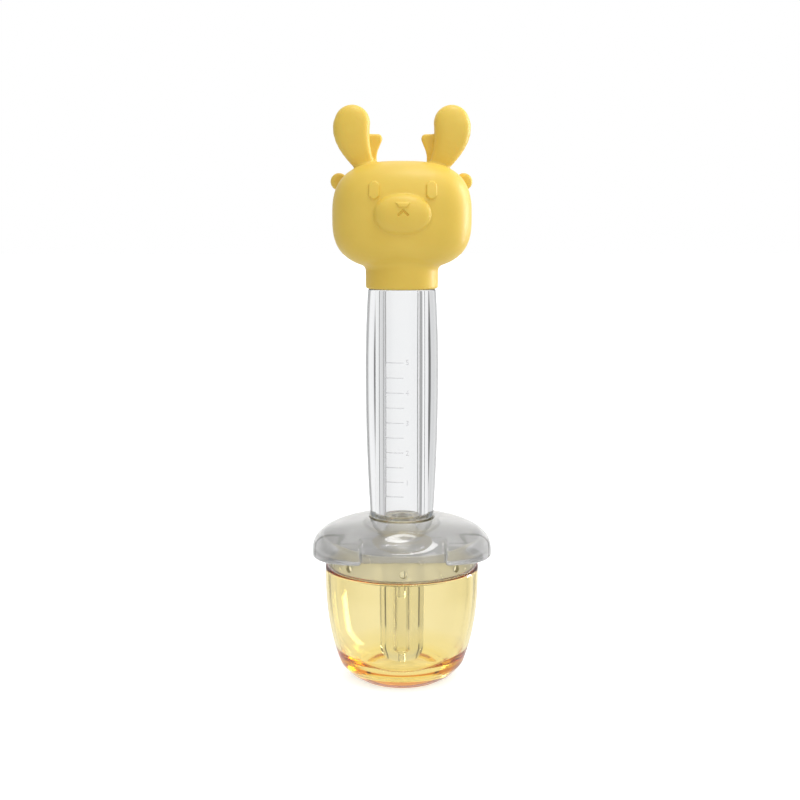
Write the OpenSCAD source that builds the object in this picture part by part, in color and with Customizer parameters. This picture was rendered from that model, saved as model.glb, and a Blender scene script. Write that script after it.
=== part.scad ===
// Medicine dropper with a squeeze bulb, a teat mouthpiece and a storage cup.
// It stands on the foot of its cup, on Z = 0, with the face of the bulb towards -Y.
// The origin is the centre of the foot. All sizes are in millimetres.

/* [Cup] */
// Outer radius of the rim of the cup
cup_rim_r = 25; // [24.6:0.1:26]
// Height of the rim above the table
cup_h = 37.1; // [36.5:0.1:37.7]
// Outer radius where the foot slopes into the wall
cup_knee_r = 20.3; // [20:0.1:21]
// Height of that knee above the table
cup_knee_z = 5; // [4.6:0.1:5.6]
// Radius of the foot that stands on the table
cup_foot_r = 14.8; // [14.4:0.1:15.2]
// Thickness of the wall of the cup
cup_wall = 1.5; // [1.2:0.1:1.5]
// Height of the floor inside the cup
cup_floor_z = 4.2; // [3.6:0.1:4.4]

/* [Teat] */
// Radius of the teat at its root
teat_r = 7.5; // [7:0.1:7.5]
// Height of the tip of the teat above the table
teat_tip_z = 5.2; // [5:0.1:6]
// Radius of the feed channel in the teat
channel_r = 2; // [2:0.05:2.1]

/* [Mouthpiece] */
// Outer radius of the band with the vent holes
band_r = 24; // [23.8:0.1:24.2]
// Height of the lower edge of that band
band_z = 37.7; // [37.7:0.1:38]
// Number of vent holes in the band
vents = 8; // [4:1:12]
// Radius of one vent hole
vent_r = 1.2; // [0.8:0.05:1.4]
// Outer radius of the shield between its wings
shield_r = 25.4; // [25.3:0.1:26]
// Outer radius of the shield at its wings
wing_r = 29.2; // [28.5:0.1:30]
// Half the width of the gap between the wings
wing_gap = 13.4; // [12:0.1:15]
// Height of the lower edge of the shield at the front
shield_z = 43.9; // [43.7:0.1:44]

/* [Barrel] */
// Height of the foot of the barrel, where it seats on the mouthpiece
seat_z = 53.3; // [53:0.1:54]
// Height of the shoulder under the bulb
shoulder_z = 127.1; // [120:0.1:130]
// Largest outer radius of the barrel
belly_r = 11.72; // [11.4:0.01:12]
// Height of the largest radius
belly_z = 100; // [95:1:105]
// Radius of the bore, which holds half a millilitre between two graduations
bore_r = 5.78; // [5.5:0.01:6]
// Distance between two graduations
tick_pitch = 4.76; // [4.5:0.01:4.9]
// Number of graduations
ticks = 10; // [5:1:10]

/* [Bulb] */
// Half the width of the head
head_w = 21.95; // [21:0.05:23]
// Half the depth of the head
head_d = 17; // [16:0.5:18]
// Height of the top of the head
head_top = 167; // [165:0.5:169]
// Radius of the collar round the top of the barrel
collar_r = 11.5; // [11.3:0.05:11.8]
// Thickness of the silicone
bulb_wall = 2.6; // [2:0.1:3]

/* [Hidden] */
$fn = 96;

eps = 0.01;
past = 1;          // how far a cutter runs past a face
edge = 0.5;        // bevel along the edges of the turned pieces
steps = 20;        // points along a curved outline
soft_fn = 28;      // facets of the spheres that the head is drawn over

// Cup: the wall bows out as the distance below the rim to this power.
wall_power = 2.6;
inner_step_r = 13.4;
inner_step = 0.35;
inner_edge_r = 15.7;
inner_fillet_z = 10;
fillet = [[17.9, 6.2], [16.6, 5]];
foot_recess_r = 12;
foot_recess = 0.8;
heel = [17.6, 1.9];
mouth_gap = 0.3;

// Vent ring: a band, a plug that drops into the cup and a web that carries the teat.
plug_r = cup_rim_r - cup_wall - mouth_gap;
plug_depth = 1.1;
band_wall = 1.3;
web_z = 44.4;
web_top = 45.6;
vent_z = 40;
vent_flare = 0.5;

// Teat: a tapered shaft, a flange on the web, a funnel round the foot of the barrel.
teat_tip_r = 7.1;
teat_round = 4.2;
flange_r = 12;
flange_h = 1.2;
funnel_root_r = 8.4;
funnel_r = 10.4;
funnel_lip = 1.5;
socket_gap = 0.3;
channel_foot = 3.7;
channel_slope = 1.2;
outlet_r = 0.8;
side_outlet_z = 3.4;
side_outlet_tilt = 35;

// Barrel: a bowed tube, a cone that plugs the teat and a neck that carries the bulb.
bow_above = 400;
bow_below = 740;
cone_top_r = 9.2;
cone_low_r = 5.8;
cone_z = 46;
bore_floor = 53.9;
outlet_bore_r = 3.4;
neck_r = 8.4;
neck_top = 135.6;

// Nozzle: a head pressed in the outlet of the barrel and a stem down the teat.
nozzle_r = 1.95;
nozzle_end = 26.8;
nozzle_bore_r = 0.85;
nozzle_head_top = 50.5;
nozzle_lip = 0.3;
nozzle_funnel_low = 1;
nozzle_taper = [0.2, 0.6];

// Shield: the outline of its domes is a superellipse with this exponent. The dome between
// the wings stands on a short upright lip, and the hollow under it is lower by hollow_drop.
dome_power = 2.5;
shield_lip = 1;
hollow_drop = 2.7;
wing_z = 41.5;
wing_bottom = 38.9;
wing_round = 2.2;
saddle_r = 128;

// Scale: raised lines that follow the surface of the barrel.
relief = 0.12;
tick_z0 = 61.7;
spine_x = -5.1;
tick_end_x = 0.35;
tick_w = 0.26;
numeral_x = 1.6;
numeral_w = 1.1;
numeral_h = 1.7;
stroke = 0.22;

// The numerals 1 to 5 as straight strokes, [x0, z0, x1, z1] in halves of the width and height.
STROKES = [
    [[0, -1, 0, 1]],
    [[-1, 1, 1, 1], [1, 0, 1, 1], [-1, 0, 1, 0], [-1, -1, -1, 0], [-1, -1, 1, -1]],
    [[-1, 1, 1, 1], [1, -1, 1, 1], [-1, 0, 1, 0], [-1, -1, 1, -1]],
    [[-1, 0, -1, 1], [-1, 0, 1, 0], [1, -1, 1, 1]],
    [[-1, 1, 1, 1], [-1, 0, -1, 1], [-1, 0, 1, 0], [1, -1, 1, 0], [-1, -1, 1, -1]]
];

// Bulb: the head is drawn over four spheres at the brow and four at the jaw.
brow_round = 11;
jaw_round = 13.5;
head_low = 133.3;
collar_top = 139.3;
neck_gap = 0.05;
// Features on the left, mirrored to the right. Blobs are drawn over spheres, [x, y, z, radius].
LOBE = [[-15.8, 0, 179, 5.7], [-15.1, 0, 173.4, 5.8], [-11.2, 0, 164.5, 3.6]];
PRONG = [[-7.5, 2.8, 174.2, 1.5], [-10.4, 2.8, 174, 1.8], [-9.8, 2, 165, 2.2]];
muzzle = [8.6, 4, 6.4];
muzzle_z = 150.5;
eye_x = 8.7;
eye_z = 157.7;
eye_r = 1.7;
eye_h = 6.4;
eye_back = 2;
eye_depth = 2.5;
nose_z = 153.1;
nose_w = 5.8;
nose_h = 3;
nose_corner = 0.7;
mouth_z = 151;
mouth_reach = 2.3;
mouth_w = 0.5;
mouth_depth = 1.2;
ear = [-20, 8, 160.9];
ear_r = 2.8;

// Outer radius of the cup at a height above its knee.
function cup_r(z) = cup_rim_r
    - (cup_rim_r - cup_knee_r) * pow((cup_h - z) / (cup_h - cup_knee_z), wall_power);

// Outer radius of the barrel at a height.
function barrel_r(z) = belly_r - pow(z - belly_z, 2) / (2 * (z > belly_z ? bow_above : bow_below));

// Heights in equal steps from one to another.
function rise(low, high) = [for (i = [0:steps]) low + (high - low) * i / steps];

// Quarter of a superellipse, from the top at r = 0 out to r = wide at the height base.
function dome(wide, tall, base) = [for (i = [0:steps])
    let (a = 90 * i / steps)
    [wide * pow(sin(a), 2 / dome_power), base + tall * pow(cos(a), 2 / dome_power)]];

// Height of a dome of a given radius that passes through the seat of the barrel.
function dome_tall(wide, base) =
    (seat_z - base) / pow(1 - pow(funnel_r / wide, dome_power), 1 / dome_power);

// Points of an arc about a centre, from one angle to another.
function arc(centre, r, from, to) = [for (i = [0:8])
    let (a = from + (to - from) * i / 8)
    centre + r * [cos(a), sin(a)]];

module cup() {
    color("khaki") rotate_extrude() polygon(concat(
        [[0, foot_recess], [foot_recess_r - foot_recess, foot_recess], [foot_recess_r, 0]],
        [[cup_foot_r - edge, 0], [cup_foot_r, edge / 2], heel],
        [for (z = rise(cup_knee_z, cup_h - edge)) [cup_r(z), z]],
        arc([cup_rim_r - edge, cup_h - edge], edge, 10, 90),
        [[cup_rim_r - cup_wall + edge / 2, cup_h]],
        [for (z = rise(cup_h - edge / 2, inner_fillet_z)) [cup_r(z) - cup_wall, z]],
        fillet,
        [[inner_edge_r, cup_floor_z + inner_step]],
        [[inner_step_r + inner_step, cup_floor_z + inner_step], [inner_step_r, cup_floor_z]],
        [[0, cup_floor_z]]
    ));
}

module cup_seal() {
    color("whitesmoke") translate([0, 0, cup_h])
        difference() {
            cylinder(r = band_r + 0.3, h = band_z - cup_h);
            translate([0, 0, -eps]) cylinder(r = plug_r, h = band_z - cup_h + 2 * eps);
        }
}

// One flared hole through the band, along +X.
module vent_hole() {
    translate([band_r, 0, vent_z]) rotate([0, 90, 0]) {
        translate([0, 0, -band_wall - past]) cylinder(r = vent_r, h = band_wall + 2 * past);
        translate([0, 0, -vent_flare])
            cylinder(r1 = vent_r, r2 = vent_r + vent_flare, h = vent_flare);
        translate([0, 0, -eps]) cylinder(r = vent_r + vent_flare, h = past);
    }
}

module vent_ring() {
    color("lightgoldenrodyellow") difference() {
        rotate_extrude() polygon([
            [plug_r - band_wall, cup_h - plug_depth],
            [plug_r - edge / 2, cup_h - plug_depth],
            [plug_r, cup_h - plug_depth + edge / 2],
            [plug_r, band_z],
            [band_r - edge / 2, band_z],
            [band_r, band_z + edge / 2],
            [band_r, web_top],
            [teat_r + 0.1, web_top],
            [teat_r + 0.1, web_z],
            [band_r - band_wall - edge, web_z],
            [band_r - band_wall, web_z - edge],
            [band_r - band_wall, band_z],
            [plug_r - band_wall, band_z - edge]
        ]);
        for (i = [0:vents - 1]) rotate([0, 0, 360 * i / vents - 90]) vent_hole();
    }
}

module teat() {
    color("ivory") difference() {
        rotate_extrude() polygon(concat(
            [[0, teat_tip_z]],
            arc([teat_tip_r - teat_round, teat_tip_z + teat_round], teat_round, -90, 0),
            [[teat_r, web_top], [flange_r, web_top], [flange_r, web_top + flange_h]],
            [[funnel_root_r, web_top + flange_h], [funnel_r, seat_z - funnel_lip]],
            [[funnel_r, seat_z]],
            [[0, seat_z]]
        ));
        rotate_extrude() polygon([
            [0, teat_tip_z + channel_foot - channel_slope],
            [outlet_r, teat_tip_z + channel_foot - channel_slope],
            [channel_r, teat_tip_z + channel_foot],
            [channel_r, cone_z - socket_gap],
            [cone_low_r + socket_gap, cone_z - socket_gap],
            [cone_top_r + socket_gap, seat_z + eps],
            [0, seat_z + eps]
        ]);
        translate([0, 0, teat_tip_z - past]) cylinder(r = outlet_r, h = channel_foot);
        for (side = [-1, 1]) translate([0, 0, teat_tip_z + side_outlet_z])
            rotate([0, side * (90 + side_outlet_tilt), 0]) cylinder(r = outlet_r, h = teat_r);
    }
}

// Solid dome over the mouthpiece, down to a given height.
module dome_solid(wide, base, low) {
    rotate_extrude() polygon(concat(
        dome(wide, dome_tall(wide, base), base),
        [[wide, min(base, low + wing_round)]],
        arc([wide - wing_round, low + wing_round], wing_round, 0, -90),
        [[0, low]]
    ));
}

// The two wings, on either side of the gap for the nose and the chin.
module wings() {
    intersection() {
        dome_solid(wing_r, wing_z, wing_bottom);
        for (side = [-1, 1]) translate([side * (wing_gap + wing_r / 2), 0, seat_z])
            cube([wing_r, 2 * wing_r, 2 * wing_r], center = true);
    }
}

module shield() {
    core_z = shield_z + shield_lip;
    color("lightslategray") difference() {
        union() {
            dome_solid(shield_r, core_z, shield_z - wing_round);
            wings();
        }
        translate([0, 0, shield_z - saddle_r]) rotate([90, 0, 0])
            cylinder(r = saddle_r, h = 3 * wing_r, center = true);
        translate([0, 0, wing_bottom - past]) cylinder(r = band_r, h = web_top - wing_bottom + past);
        rotate_extrude() polygon(concat(
            dome(band_r, dome_tall(shield_r, core_z) - hollow_drop, web_top - eps),
            [[0, web_top - eps]]
        ));
        translate([0, 0, wing_bottom]) cylinder(r = funnel_r, h = seat_z);
        translate([-wing_r, -wing_r, seat_z]) cube([2 * wing_r, 2 * wing_r, wing_r]);
    }
}

module barrel() {
    color("aliceblue") difference() {
        rotate_extrude() polygon(concat(
            [[0, cone_z], [cone_low_r, cone_z], [cone_top_r, seat_z]],
            [for (z = rise(seat_z, shoulder_z - edge)) [barrel_r(z), z]],
            [[barrel_r(shoulder_z) - edge, shoulder_z]],
            [[neck_r, shoulder_z], [neck_r, neck_top - edge], [neck_r - edge, neck_top]],
            [[0, neck_top]]
        ));
        translate([0, 0, bore_floor]) cylinder(r = bore_r, h = neck_top);
        translate([0, 0, cone_z - past]) cylinder(r = outlet_bore_r, h = bore_floor);
    }
}

module nozzle() {
    color("gainsboro") rotate_extrude() polygon([
        [nozzle_bore_r, nozzle_end],
        [nozzle_r - nozzle_taper[0], nozzle_end],
        [nozzle_r, nozzle_end + nozzle_taper[1]],
        [nozzle_r, cone_z],
        [outlet_bore_r, cone_z],
        [outlet_bore_r, nozzle_head_top],
        [outlet_bore_r - nozzle_lip, nozzle_head_top],
        [nozzle_bore_r, cone_z + nozzle_funnel_low]
    ]);
}

// Thin skin over the barrel, between two heights.
module barrel_skin(low, high) {
    rotate_extrude() polygon(concat(
        [for (z = rise(low, high)) [barrel_r(z) + relief, z]],
        [for (z = rise(high, low)) [barrel_r(z), z]]
    ));
}

// Bar on the front of the barrel between two X and two Z values.
module front_bar(x0, x1, z0, z1) {
    translate([x0, -belly_r - past, z0]) cube([x1 - x0, belly_r, z1 - z0]);
}

module scale_lines() {
    top = tick_z0 + (ticks - 1) * tick_pitch;
    color("silver") intersection() {
        barrel_skin(tick_z0 - 2, top + 2);
        union() {
            front_bar(spine_x - tick_w, spine_x, tick_z0 - tick_w / 2, top + tick_w / 2);
            for (i = [0:ticks - 1])
                let (z = tick_z0 + i * tick_pitch)
                front_bar(spine_x - eps, tick_end_x, z - tick_w / 2, z + tick_w / 2);
        }
    }
}

// A numeral from 1 to 5, centred on a height.
module numeral(n, z) {
    for (s = STROKES[n - 1]) front_bar(
        numeral_x + (s[0] * numeral_w - stroke) / 2, numeral_x + (s[2] * numeral_w + stroke) / 2,
        z + (s[1] * numeral_h - stroke) / 2, z + (s[3] * numeral_h + stroke) / 2);
}

module scale_numerals() {
    color("silver") intersection() {
        barrel_skin(tick_z0 - 2, shoulder_z - 2);
        for (n = [1:5]) numeral(n, tick_z0 + (2 * n - 1) * tick_pitch);
    }
}

// Rounded block of the head, drawn over eight spheres and shrunk by an inset.
module head_form(inset) {
    hull() for (x = [-1, 1], y = [-1, 1]) {
        translate([x * (head_w - brow_round), y * (head_d - brow_round), head_top - brow_round])
            sphere(r = brow_round - inset, $fn = soft_fn);
        translate([x * (head_w - jaw_round), y * (head_d - jaw_round), head_low + jaw_round])
            sphere(r = jaw_round - inset, $fn = soft_fn);
    }
}

// Soft form drawn over spheres, each [x, y, z, radius].
module blob(spheres) {
    hull() for (s = spheres) translate([s[0], s[1], s[2]]) sphere(r = s[3], $fn = soft_fn);
}

// An antler, a lobe with a short prong behind it.
module antler() {
    blob(LOBE);
    blob(PRONG);
}

// The eye on the left, an upright plate with round ends, in front of the head.
module eye() {
    straight = eye_h / 2 - eye_r;
    translate([-eye_x, -head_d + eye_back, eye_z]) rotate([90, 0, 0]) linear_extrude(eye_depth) {
        square([2 * eye_r, 2 * straight], center = true);
        for (end = [-1, 1]) translate([0, end * straight]) circle(r = eye_r, $fn = soft_fn);
    }
}

// An ear, a thick round disc that faces forwards and has a full round edge.
module ear_disc() {
    half = ear_r / 2;
    rotate([90, 0, 0]) rotate_extrude()
        polygon(concat([[0, -half]], arc([half, 0], half, -90, 90), [[0, half]]));
}

// The nose, a triangle that points down, with its corners cut off.
module nose() {
    low = nose_z - nose_h / 2;
    high = nose_z + nose_h / 2;
    half = nose_w / 2;
    translate([0, -head_d - past, 0]) rotate([90, 0, 0]) linear_extrude(muzzle[1] - past) polygon([
        [-nose_corner, low], [nose_corner, low],
        [half, high - nose_corner], [half - nose_corner, high],
        [nose_corner - half, high], [-half, high - nose_corner]
    ]);
}

// The mouth, two strokes that slope down from under the nose.
module mouth() {
    for (side = [-1, 1]) translate([0, -head_d - muzzle[1], mouth_z])
        rotate([0, 90 + side * 45, 0]) translate([-mouth_w / 2, 0, 0])
            cube([mouth_w, mouth_depth, mouth_reach]);
}

module bulb() {
    color("gold") difference() {
        union() {
            head_form(0);
            translate([0, 0, shoulder_z]) cylinder(r = collar_r, h = collar_top - shoulder_z);
            for (side = [0, 1]) mirror([side, 0, 0]) {
                antler();
                eye();
                translate(ear) ear_disc();
            }
            translate([0, -head_d + 0.5, muzzle_z]) scale(muzzle) sphere(r = 1, $fn = 48);
            nose();
        }
        head_form(bulb_wall);
        translate([0, 0, shoulder_z - past])
            cylinder(r = neck_r + neck_gap, h = collar_top - shoulder_z);
        mouth();
    }
}

bulb();
barrel();
scale_lines();
scale_numerals();
nozzle();
teat();
shield();
vent_ring();
cup_seal();
cup();
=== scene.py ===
# %% [markdown]
# # A medicine dropper with a deer-head bulb
# The object is a stack of soft and clear mouldings: a squeeze bulb in yellow silicone, a clear
# graduated barrel, a mouthpiece (teat, shield and vent ring) and an amber cup that caps the teat
# and serves as the stand. The CAD frame fixes every size and joint. This file gives each piece
# its finished shape and its finish, on the same frame, in metres.

# %% Load the frame
import math

import bmesh
import bpy
import numpy as np
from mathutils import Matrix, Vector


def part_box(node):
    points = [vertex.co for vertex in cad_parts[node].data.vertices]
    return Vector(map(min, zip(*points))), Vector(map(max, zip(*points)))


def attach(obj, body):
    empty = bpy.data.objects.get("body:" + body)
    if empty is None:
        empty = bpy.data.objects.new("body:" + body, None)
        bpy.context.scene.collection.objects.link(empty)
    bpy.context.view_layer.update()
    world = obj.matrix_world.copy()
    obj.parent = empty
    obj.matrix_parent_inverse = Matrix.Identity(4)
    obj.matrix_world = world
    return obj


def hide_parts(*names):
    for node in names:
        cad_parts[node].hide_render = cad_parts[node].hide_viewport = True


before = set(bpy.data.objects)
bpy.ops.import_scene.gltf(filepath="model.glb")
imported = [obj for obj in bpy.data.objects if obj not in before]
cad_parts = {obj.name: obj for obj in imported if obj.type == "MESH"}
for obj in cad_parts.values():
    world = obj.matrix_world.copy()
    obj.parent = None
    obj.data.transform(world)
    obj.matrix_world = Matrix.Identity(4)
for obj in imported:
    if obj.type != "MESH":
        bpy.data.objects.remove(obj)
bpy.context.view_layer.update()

import openvdb
from mathutils import Vector

MM = 0.001

# %% [markdown]
# Sizes come from the boxes of the CAD nodes: the outside of each piece and the heights where
# the pieces meet. Only walls, bores and small roundings are named here, in millimetres, because
# a box does not show them.

# %% Measure the frame


def mm_box(node):
    """Lowest and highest corner of a CAD node, in millimetres."""
    low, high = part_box(node)
    return np.array(low) / MM, np.array(high) / MM


cup_high = mm_box("cup")[1]
ring_low, ring_high = mm_box("vent_ring")
seal_low, seal_high = mm_box("cup_seal")
teat_low, teat_high = mm_box("teat")
shield_low, shield_high = mm_box("shield")
nozzle_low, nozzle_high = mm_box("nozzle")
barrel_low, barrel_high = mm_box("barrel")
lines_low, lines_high = mm_box("scale_lines")
numerals_low, numerals_high = mm_box("scale_numerals")
bulb_low, bulb_high = mm_box("bulb")
seat_z = teat_high[2]
shoulder_z = bulb_low[2]
print("seat of the barrel at", round(seat_z, 2), "mm, shoulder at", round(shoulder_z, 2), "mm")

# %% [markdown]
# ## Finishes
# Clear plastics and silicones are glass-like: light goes through them, so they are set by their
# index of refraction, by how smooth the surface is and by what the body absorbs on the way. The
# absorption goes in the volume, so a thick foot turns darker than a thin wall by itself, as it
# does in a real tinted cup. Each surface also gets the small unevenness of a moulding: a slow
# wave in its gloss and colour, and a fine bump.

# %% Node helpers
PATCH_SCALE, GLOSS_SCALE, WAVE_SCALE, GRAIN_SCALE = 90, 260, 120, 2600
WAVE_DEPTH, GRAIN_DEPTH = 0.001, 0.0001
NOISE_LOW, NOISE_HIGH = 0.3, 0.7


def add(tree, kind, inputs=None, **settings):
    """A node in a tree. An input is given a value, or the socket that feeds it."""
    node = tree.nodes.new(kind)
    for key, value in settings.items():
        setattr(node, key, value)
    for key, value in (inputs or {}).items():
        if isinstance(value, bpy.types.NodeSocket):
            tree.links.new(value, node.inputs[key])
        else:
            node.inputs[key].default_value = value
    return node


def spread(tree, point, scale, detail, low, high):
    """A noise over the piece, stretched to run from one value to another."""
    noise = add(tree, "ShaderNodeTexNoise", {"Vector": point, "Scale": scale, "Detail": detail})
    return add(tree, "ShaderNodeMapRange", {
        "Value": noise.outputs["Fac"], "From Min": NOISE_LOW, "From Max": NOISE_HIGH,
        "To Min": low, "To Max": high}).outputs["Result"]


def finish(name, colours, rough, wave, grain, absorb=None, **shader_values):
    """A moulded finish: two close colours, a range of roughness, a slow wave and a fine grain."""
    material = bpy.data.materials.new(name)
    material.use_nodes = True
    tree = material.node_tree
    tree.nodes.clear()
    point = add(tree, "ShaderNodeTexCoord").outputs["Object"]
    patches = spread(tree, point, PATCH_SCALE, 3, 0, 1)
    colour = add(tree, "ShaderNodeMix", {"Factor": patches, 6: (*colours[0], 1), 7: (*colours[1], 1)},
                 data_type="RGBA").outputs[2]
    roughness = spread(tree, point, GLOSS_SCALE, 4, *rough)
    slow = add(tree, "ShaderNodeTexNoise", {"Vector": point, "Scale": WAVE_SCALE, "Detail": 1})
    fine = add(tree, "ShaderNodeTexNoise", {"Vector": point, "Scale": GRAIN_SCALE, "Detail": 2})
    waves = add(tree, "ShaderNodeBump", {
        "Height": slow.outputs["Fac"], "Strength": wave, "Distance": WAVE_DEPTH})
    bump = add(tree, "ShaderNodeBump", {
        "Height": fine.outputs["Fac"], "Strength": grain, "Distance": GRAIN_DEPTH,
        "Normal": waves.outputs["Normal"]})
    shader = add(tree, "ShaderNodeBsdfPrincipled", {
        "Base Color": colour, "Roughness": roughness, "Normal": bump.outputs["Normal"],
        **shader_values})
    output = add(tree, "ShaderNodeOutputMaterial", {"Surface": shader.outputs["BSDF"]})
    if absorb:
        body = add(tree, "ShaderNodeVolumeAbsorption", {"Color": (*absorb[0], 1), "Density": absorb[1]})
        tree.links.new(body.outputs["Volume"], output.inputs["Volume"])
    return material


# %% [markdown]
# The bulb is a squeezable silicone with a satin skin. Light enters it a little way and comes out
# again, which softens the shade under the chin, so it gets some subsurface scattering.

# %% Yellow silicone
yellow_silicone = finish(
    "bulb_satin_silicone", [(0.78, 0.545, 0.085), (0.82, 0.58, 0.10)], (0.38, 0.48), 0.05, 0.12,
    **{"IOR": 1.41, "Subsurface Weight": 0.15, "Subsurface Radius": (0.002, 0.0011, 0.0004),
       "Subsurface Scale": 1.0})
print("finish:", yellow_silicone.name)

# %% [markdown]
# The barrel and the nozzle are a hard clear plastic. The amber cup is the same kind of plastic
# with a tint that takes out blue first and green next: 3 mm of wall looks pale yellow, and the
# long way through the foot looks orange.

# %% Clear and amber plastic
clear_plastic = finish(
    "barrel_clear_plastic", [(0.97, 0.975, 0.98), (0.985, 0.985, 0.985)], (0.01, 0.03), 0.02, 0.0,
    absorb=((0.75, 0.78, 0.80), 12), **{"Transmission Weight": 1.0, "IOR": 1.46})
amber_plastic = finish(
    "cup_amber_plastic", [(0.99, 0.945, 0.79), (0.995, 0.955, 0.81)], (0.01, 0.04), 0.03, 0.0,
    absorb=((0.98, 0.86, 0.20), 200), **{"Transmission Weight": 1.0, "IOR": 1.5})
print("finishes:", clear_plastic.name, amber_plastic.name)

# %% [markdown]
# The teat and the gasket are clear silicone, a touch milky and less polished than the plastic.
# The shield is a smoky grey silicone with a wet gloss. The vent ring is a pale translucent
# plastic, half clear and half body colour.

# %% Silicones and pale plastic
clear_silicone = finish(
    "teat_clear_silicone", [(0.96, 0.955, 0.93), (0.98, 0.975, 0.955)], (0.04, 0.10), 0.06, 0.02,
    absorb=((0.80, 0.78, 0.70), 40), **{"Transmission Weight": 1.0, "IOR": 1.41})
grey_silicone = finish(
    "shield_smoky_silicone", [(0.94, 0.94, 0.93), (0.97, 0.97, 0.96)], (0.14, 0.20), 0.05, 0.0,
    absorb=((0.60, 0.60, 0.60), 22), **{"Transmission Weight": 0.82, "IOR": 1.41,
                                        "Coat Weight": 1.0, "Coat Roughness": 0.04, "Coat IOR": 1.5})
pale_plastic = finish(
    "ring_pale_plastic", [(0.95, 0.88, 0.62), (0.98, 0.92, 0.68)], (0.15, 0.28), 0.05, 0.05,
    **{"Transmission Weight": 0.55, "IOR": 1.45})
scale_relief = finish(
    "scale_frost", [(0.90, 0.90, 0.92), (0.94, 0.94, 0.95)], (0.15, 0.3), 0.0, 0.05,
    **{"Transmission Weight": 0.88, "IOR": 1.46})
BODY_OF = {node: body for body, nodes in {
    "cup": ["cup"],
    "mouthpiece": ["vent_ring", "shield", "teat", "cup_seal"],
    "barrel": ["barrel", "nozzle", "scale_lines", "scale_numerals"],
    "bulb": ["bulb"],
}.items() for node in nodes}

# %% [markdown]
# ## Turned pieces
# The cup, seal, ring, teat, barrel and nozzle are all bodies of revolution, so one Geometry
# Nodes tree makes them. A piece starts as its outline, a chain of points in the XZ plane. The
# tree lays out a grid with one row for each outline point and one column for each step round
# the axis, looks up the outline point of every row, and turns it by the angle of its column.
# A lathe made this way keeps every outline point exactly, and one Segments input sets how
# smooth all of them are.

# %% Build the turning tree
WELD = 2e-6


def new_tree(name, *inputs):
    """A Geometry Nodes tree with a geometry input and output and some named inputs."""
    tree = bpy.data.node_groups.new(name, "GeometryNodeTree")
    tree.interface.new_socket("Geometry", in_out="INPUT", socket_type="NodeSocketGeometry")
    for label, kind in inputs:
        tree.interface.new_socket(label, in_out="INPUT", socket_type="NodeSocket" + kind)
    tree.interface.new_socket("Geometry", in_out="OUTPUT", socket_type="NodeSocketGeometry")
    return tree, add(tree, "NodeGroupInput").outputs


def maths(tree, operation, a, b=0.0):
    """One step of arithmetic in a tree, as the socket with its result."""
    return add(tree, "ShaderNodeMath", {0: a, 1: b}, operation=operation).outputs[0]


def close_tree(tree, geometry, material):
    """The last nodes of every tree: real geometry, with its finish."""
    real = add(tree, "GeometryNodeRealizeInstances", {"Geometry": geometry})
    named = add(tree, "GeometryNodeSetMaterial", {"Geometry": real.outputs[0], "Material": material})
    add(tree, "NodeGroupOutput", {"Geometry": named.outputs[0]})


turning, given = new_tree("turning", ("Segments", "Int"), ("Material", "Material"))
rows = add(turning, "GeometryNodeAttributeDomainSize", {"Geometry": given["Geometry"]}).outputs[0]
grid = add(turning, "GeometryNodeMeshGrid", {
    "Vertices X": maths(turning, "ADD", given["Segments"], 1), "Vertices Y": rows}).outputs[0]
index = add(turning, "GeometryNodeInputIndex").outputs[0]
outline_point = add(turning, "GeometryNodeSampleIndex", {
    "Geometry": given["Geometry"], "Value": add(turning, "GeometryNodeInputPosition").outputs[0],
    "Index": maths(turning, "MODULO", index, rows),
}, data_type="FLOAT_VECTOR").outputs[0]
column = maths(turning, "FLOOR", maths(turning, "DIVIDE", maths(turning, "ADD", index, 0.5), rows))
turn = maths(turning, "DIVIDE", maths(turning, "MULTIPLY", column, 2 * math.pi), given["Segments"])
place = add(turning, "ShaderNodeVectorRotate", {"Vector": outline_point, "Angle": turn},
            rotation_type="Z_AXIS").outputs[0]
placed = add(turning, "GeometryNodeSetPosition", {"Geometry": grid, "Position": place}).outputs[0]
closed = add(turning, "GeometryNodeMergeByDistance", {"Geometry": placed, "Distance": WELD}).outputs[0]
close_tree(turning, closed, given["Material"])
print("turning tree:", len(turning.nodes), "nodes")

# %% [markdown]
# Holes are drilled by a second tree. It makes one bit along +X, a straight shank with a flared
# mouth, sets copies of it round the axis and takes them out of the piece with a mesh boolean.
# The eight vents in the ring and the two side outlets of the teat differ only in the inputs.

# %% Build the drilling tree
drilling, given = new_tree(
    "drilling", ("Count", "Int"), ("Hole Radius", "Float"), ("Flare", "Float"), ("From", "Float"),
    ("To", "Float"), ("Height", "Float"), ("Tilt", "Float"), ("First Angle", "Float"),
    ("Material", "Material"))
BIT_SIDES = 40
reach = maths(drilling, "SUBTRACT", given["To"], given["From"])
shank = add(drilling, "GeometryNodeMeshCylinder", {
    "Vertices": BIT_SIDES, "Radius": given["Hole Radius"],
    "Depth": maths(drilling, "MULTIPLY", reach, 2)})
mouth_r = maths(drilling, "ADD", given["Hole Radius"], given["Flare"])
mouth = add(drilling, "GeometryNodeMeshCone", {
    "Vertices": BIT_SIDES, "Radius Bottom": given["Hole Radius"], "Radius Top": mouth_r,
    "Depth": given["Flare"]})


def bit_part(mesh, distance):
    """A part of the bit, laid along +X at a distance from the axis and tilted down."""
    tilt = add(drilling, "ShaderNodeCombineXYZ", {
        "Y": maths(drilling, "ADD", given["Tilt"], math.pi / 2)}).outputs[0]
    ahead = add(drilling, "ShaderNodeCombineXYZ", {"Z": distance}).outputs[0]
    moved = add(drilling, "GeometryNodeTransform", {"Geometry": mesh, "Translation": ahead})
    up = add(drilling, "ShaderNodeCombineXYZ", {"Z": given["Height"]}).outputs[0]
    return add(drilling, "GeometryNodeTransform", {
        "Geometry": moved.outputs[0], "Translation": up, "Rotation": tilt}).outputs[0]


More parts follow.
